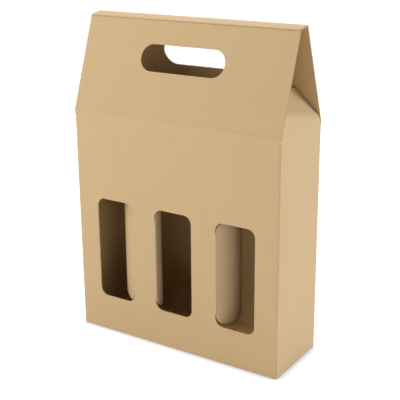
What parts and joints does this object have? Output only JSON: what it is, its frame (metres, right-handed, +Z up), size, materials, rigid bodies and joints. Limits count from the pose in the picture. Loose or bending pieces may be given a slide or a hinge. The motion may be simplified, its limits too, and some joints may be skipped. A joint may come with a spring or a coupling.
{
  "type": "bottle carrier box",
  "caption": "Tall folded corrugated carrier for bottles: windows with pushed-in flaps in the front, a locked bottom, and a gable top whose two slopes carry hand holes.",
  "frame": {"origin": "middle of the base, on the surface that the box stands on", "axes": "+Z up, +X along the front wall to the right, +Y from the windowed front wall to the back wall"},
  "size_m": [0.27, 0.093, 0.379],
  "materials": {
    "kraft_board": "uncoated brown micro-flute corrugated board, matt"
  },
  "bodies": {
    "carton": {"carton": "kraft_board"},
    "front_handle_panel": {"front_handle_panel": "kraft_board"},
    "rear_handle_panel": {"rear_handle_panel": "kraft_board"},
    "left_window_flap": {"left_window_flap": "kraft_board"},
    "middle_window_flap": {"middle_window_flap": "kraft_board"},
    "right_window_flap": {"right_window_flap": "kraft_board"}
  },
  "joints": [
    {"name": "front_panel_crease", "type": "hinge", "parent": "carton", "child": "front_handle_panel", "pos_m": [0, -0.0465, 0.27], "axis": [1, 0, 0], "range_deg": [0, 150]},
    {"name": "rear_panel_crease", "type": "hinge", "parent": "carton", "child": "rear_handle_panel", "pos_m": [0, 0.0465, 0.27], "axis": [-1, 0, 0], "range_deg": [0, 150]},
    {"name": "left_flap_crease", "type": "hinge", "parent": "carton", "child": "left_window_flap", "pos_m": [-0.0565, -0.045, 0.10625], "axis": [0, 0, -1], "range_deg": [-33, 20]},
    {"name": "middle_flap_crease", "type": "hinge", "parent": "carton", "child": "middle_window_flap", "pos_m": [-0.025, -0.045, 0.10625], "axis": [0, 0, 1], "range_deg": [-90, 5]},
    {"name": "right_flap_crease", "type": "hinge", "parent": "carton", "child": "right_window_flap", "pos_m": [0.0565, -0.045, 0.10625], "axis": [0, 0, 1], "range_deg": [-36, 60]}
  ]
}
